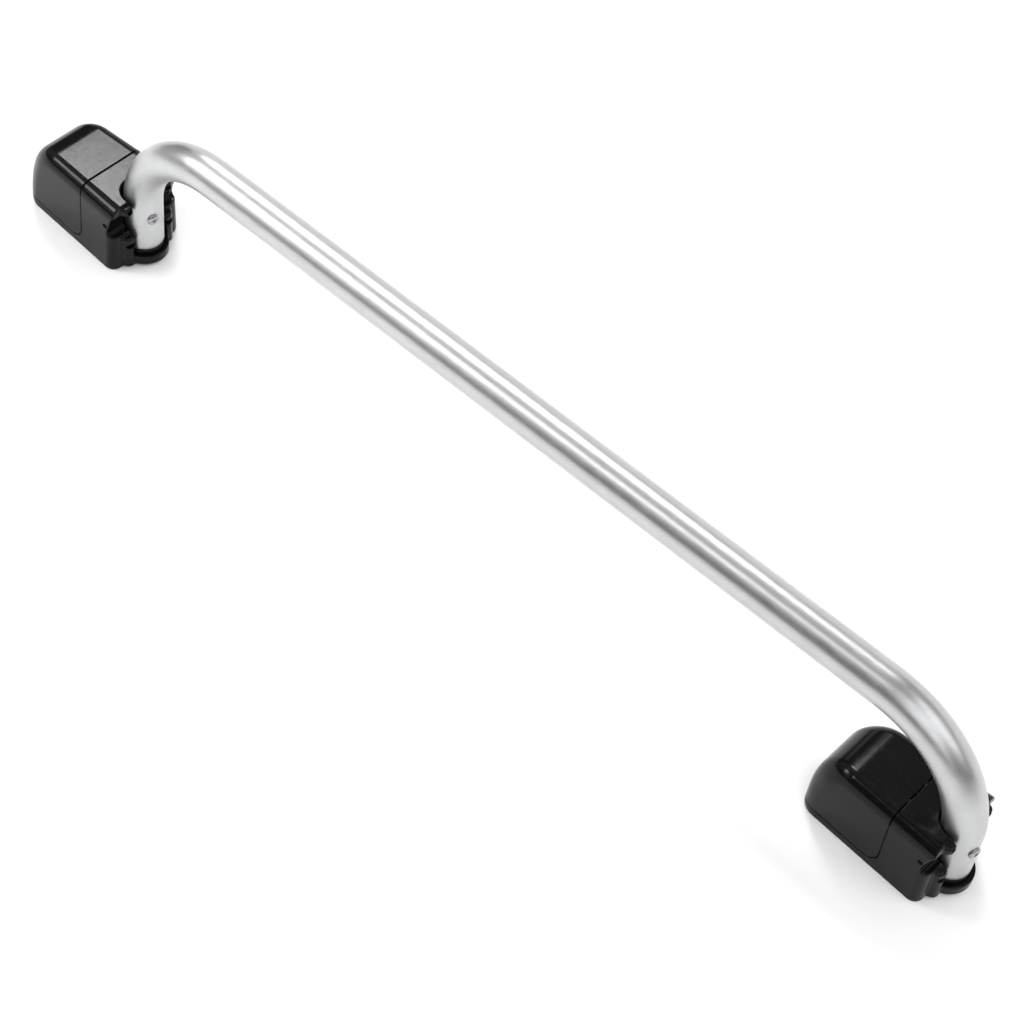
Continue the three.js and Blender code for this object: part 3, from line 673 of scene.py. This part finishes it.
def rubber():
    made, shader = material("rubber", (0.012, 0.012, 0.012), 0.0, 0.6, IOR=1.5)
    tree = made.node_tree
    tint(tree, noise(tree, 90, 3), (0.010, 0.010, 0.010), (0.016, 0.016, 0.016), shader)
    relief(tree, noise(tree, 1800, 3), 0.00003, 0.3, shader)
    return made


def metal(name, colour, roughness, grain, stretch=(1, 1, 1)):
    made, shader = material(name, colour, 1.0, roughness)
    tree = made.node_tree
    darker = tuple(0.9 * c for c in colour)
    tint(tree, noise(tree, 180, 4, stretch), darker, colour, shader)
    spread(tree, noise(tree, 500, 4, stretch), roughness * 0.85, roughness * 1.25, "Roughness", shader)
    relief(tree, noise(tree, 1400, 3, stretch), 0.00003, grain, shader)
    return made


ANODISED = anodised()
BLACK_GLOSS = moulded_black("black_gloss", 0.16, 0.05)
BLACK_SATIN = moulded_black("black_satin", 0.38, 0.2)
RUBBER = rubber()
STEEL = metal("steel", (0.62, 0.62, 0.63), 0.28, 0.1, (1, 1, 6))
SCREW_STEEL = metal("screw_steel", (0.36, 0.36, 0.37), 0.24, 0.1)
ZINC = metal("cast_zinc", (0.42, 0.43, 0.44), 0.45, 0.3)
BLACK_STEEL = metal("black_steel", (0.05, 0.05, 0.05), 0.4, 0.15)


# ---- The object ----
def dress_cad_nodes():
    """Gives every CAD node its material and softened edges."""
    by_slot = {
        "anodised": ANODISED, "black_gloss": BLACK_GLOSS, "black_satin": BLACK_SATIN, "rubber": RUBBER,
        "steel": STEEL, "cast_zinc": ZINC, "black_steel": BLACK_STEEL,
    }
    slots = {entry["node"]: entry["material_slot"] for entry in frame["record"]["subparts"]}
    for name, node in frame["nodes"].items():
        node.data.materials.clear()
        node.data.materials.append(by_slot[slots[name]])
        soften = node.modifiers.new("soften", "BEVEL")
        soften.width = 0.2 * MM
        soften.segments = 2
        soften.limit_method = "ANGLE"
        soften.angle_limit = math.radians(40)


def build_feet():
    share = 0.22
    shell = moulding("housing", housing, (REAR, -HALF_W, BASE), (COLLAR_R, HALF_W, TOP), share)
    flap = moulding("lever", lever, (REAR, -HALF_W, SEAM_Z), (SEAM_X, HALF_W, TOP), share)
    for side in SIDES:
        place = foot_matrix(side)
        piece(f"{side}_housing_moulding", shell.copy(), BLACK_GLOSS, f"{side}_foot",
              [f"{side}_housing"], place)
        piece(f"{side}_lever_moulding", flap.copy(), BLACK_GLOSS, f"{side}_flip",
              [f"{side}_lever"], place)


def squash_with_lever(made):
    """Gives a soft piece a copy of its mesh of its own; it is not flattened."""
    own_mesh(made)


def build_small_parts():
    """The pad, the spring, the tube's plug, and the leg and cheek screws, each finer than its CAD node."""
    small = CELL / 2
    fine = CELL / 4
    seal = moulding("pad", pad, (REAR, -HALF_W, 0), (FRONT, HALF_W, BEAD["z"][1]), 0.6)
    r = PLUG["r"]
    stopper = moulding("plug", plug, (-r, -r, PLUG["z"][0]), (r, r, PLUG["z"][1]), 0.5, small)
    r = LEG_SCREW["r"]
    inner_x, outer_x = LEG_SCREW["x"]
    clamp = moulding("leg_screw", leg_screw, (inner_x, -r, -r), (outer_x, r, r), 0.6, fine)
    r = CHEEK_SCREW["r"]
    cheek_low = (CHEEK_SCREW["end"], -r, -r)
    cheek = moulding("cheek_screw", cheek_screw, cheek_low, (CHEEK_SCREW["head"][1], r, r), 0.8, fine)
    dome_low, dome_high = zip(DOME["x"], (-DOME["half_w"], DOME["half_w"]), DOME["z"])
    swell = moulding("pad_dome", pad_dome, dome_low, dome_high, 0.5)
    coil = spring_mesh()
    turned = Matrix.Rotation(math.radians(LEG_SCREW["degrees"]), 4, "Z")
    for side in SIDES:
        place = foot_matrix(side)
        piece(f"{side}_pad_seal", seal.copy(), RUBBER, f"{side}_foot",
              [f"{side}_suction_pad"], place)
        raised = piece(f"{side}_pad_dome", swell.copy(), RUBBER, f"{side}_foot", (), place)
        wound = piece(f"{side}_spring_wound", coil.copy(), STEEL, f"{side}_foot",
                      [f"{side}_spring"], place)
        squash_with_lever(raised)
        squash_with_lever(wound)
        piece(f"{side}_plug_turned", stopper.copy(), BLACK_SATIN, "rail",
              [f"{side}_tube_plug"], place)
        piece(f"{side}_leg_screw_turned", clamp.copy(), SCREW_STEEL, "rail", [f"{side}_leg_screw"],
              place @ turned @ Matrix.Translation((0, 0, LEG_SCREW["z"])))
        for row, z in enumerate(EYE_Z):
            for k, sign in enumerate((-1, 1)):
                at = Matrix.Translation((0, sign * EYE["y"], z))
                number = 2 * row + k + 1
                piece(f"{side}_cheek_screw_{number}_turned", cheek.copy(), BLACK_STEEL, f"{side}_foot",
                      [f"{side}_cheek_screw_{number}"], place @ at)


def build_tube():
    piece("grab_tube_skin", tube_mesh(), ANODISED, "rail", ["grab_tube"])


# ---- Floor, light and camera ----
def build_floor():
    bpy.ops.mesh.primitive_plane_add(size=30, location=(0, 0, 0))
    floor = bpy.context.object
    floor.name = "floor"
    made, _ = material("floor_white", (0.93, 0.93, 0.93), 0.0, 0.9)
    floor.data.materials.append(made)


def direction(azimuth, elevation):
    """A unit vector, from degrees anticlockwise from +X and degrees up."""
    around = math.radians(azimuth)
    up = math.radians(elevation)
    return Vector((math.cos(around) * math.cos(up), math.sin(around) * math.cos(up), math.sin(up)))


def panel(name, towards, angles, radiance, seen_in_gloss=True, distance=LIGHT_DISTANCE, target=(0, 0, 0)):
    """A rectangular light facing the target, which sees it as many degrees wide and high as angles says."""
    back = direction(*towards)
    first = Vector((1, 0, 0)) if abs(back.x) < 0.9 else Vector((0, 1, 0))
    first = (first - back * first.dot(back)).normalized()
    turn = Matrix((first, back.cross(first), back)).transposed()
    lamp = bpy.data.lights.new(name, "AREA")
    lamp.shape = "RECTANGLE"
    lamp.size, lamp.size_y = (2 * distance * math.tan(math.radians(angle / 2)) for angle in angles)
    lamp.energy = radiance * math.pi * lamp.size * lamp.size_y
    holder = bpy.data.objects.new(name, lamp)
    bpy.context.scene.collection.objects.link(holder)
    holder.matrix_world = Matrix.Translation(Vector(target) + back * distance) @ turn.to_4x4()
    holder.visible_glossy = seen_in_gloss


def build_light():
    """Softboxes on the left, two far and two near the left foot, and panels all round a dark studio."""
    world = bpy.data.worlds.new("studio")
    world.use_nodes = True
    world.node_tree.nodes["Background"].inputs["Color"].default_value = (1, 1, 1, 1)
    world.node_tree.nodes["Background"].inputs["Strength"].default_value = 0.02
    bpy.context.scene.world = world
    panel("softbox_far", (138.2, 50.4), (15, 9), 29.0)
    by_left_foot = {"distance": 1.8, "target": (LEG["left"] * MM, 0, 0.1)}
    panel("softbox_near", (232, 54), (6, 14), 12.0)
    panel("softbox_left", (218, 44), (17, 20), 13.0, **by_left_foot)
    panel("softbox_left_low", (238, 26), (24, 18), 1.0, **by_left_foot)
    panel("behind_low", (90, 16), (110, 28), 1.3)
    panel("behind_high", (90, 50), (75, 36), 0.28)
    panel("right_low", (0, 20), (50, 30), 0.12)
    panel("right_high", (15, 52), (50, 34), 2.0)
    panel("near_right", (305, 45), (45, 50), 1.7)
    panel("near_left", (228, 32), (28, 34), 0.25)
    panel("left", (183, 30), (40, 36), 0.35)
    panel("left_high", (180, 63), (36, 16), 0.72)
    panel("fill", (80, 68), (95, 95), 0.4, seen_in_gloss=False)
    bpy.context.scene.view_settings.view_transform = "Standard"


def build_camera():
    """The camera stands in front of the bar's right end and looks down and to the left."""
    heading = math.radians(36.94)
    pitch = math.radians(51.26)
    roll = math.radians(7.37)
    forward = Vector((
        -math.sin(heading) * math.cos(pitch), math.cos(heading) * math.cos(pitch), -math.sin(pitch),
    ))
    level = forward.cross(Vector((0, 0, 1))).normalized()
    down = forward.cross(level)
    right = level * math.cos(roll) - down * math.sin(roll)
    down = level * math.sin(roll) + down * math.cos(roll)
    turn = Matrix((right, -down, -forward)).transposed()
    data = bpy.data.cameras.new("camera")
    data.sensor_width = 36
    data.lens = 94.9
    data.clip_end = 50
    camera = bpy.data.objects.new("camera", data)
    camera.matrix_world = Matrix.Translation((0.8103, -1.0238, 1.6225)) @ turn.to_4x4()
    bpy.context.scene.collection.objects.link(camera)
    bpy.context.scene.camera = camera


dress_cad_nodes()
build_feet()
build_small_parts()
build_tube()
build_floor()
build_light()
build_camera()

bpy.context.view_layer.update()
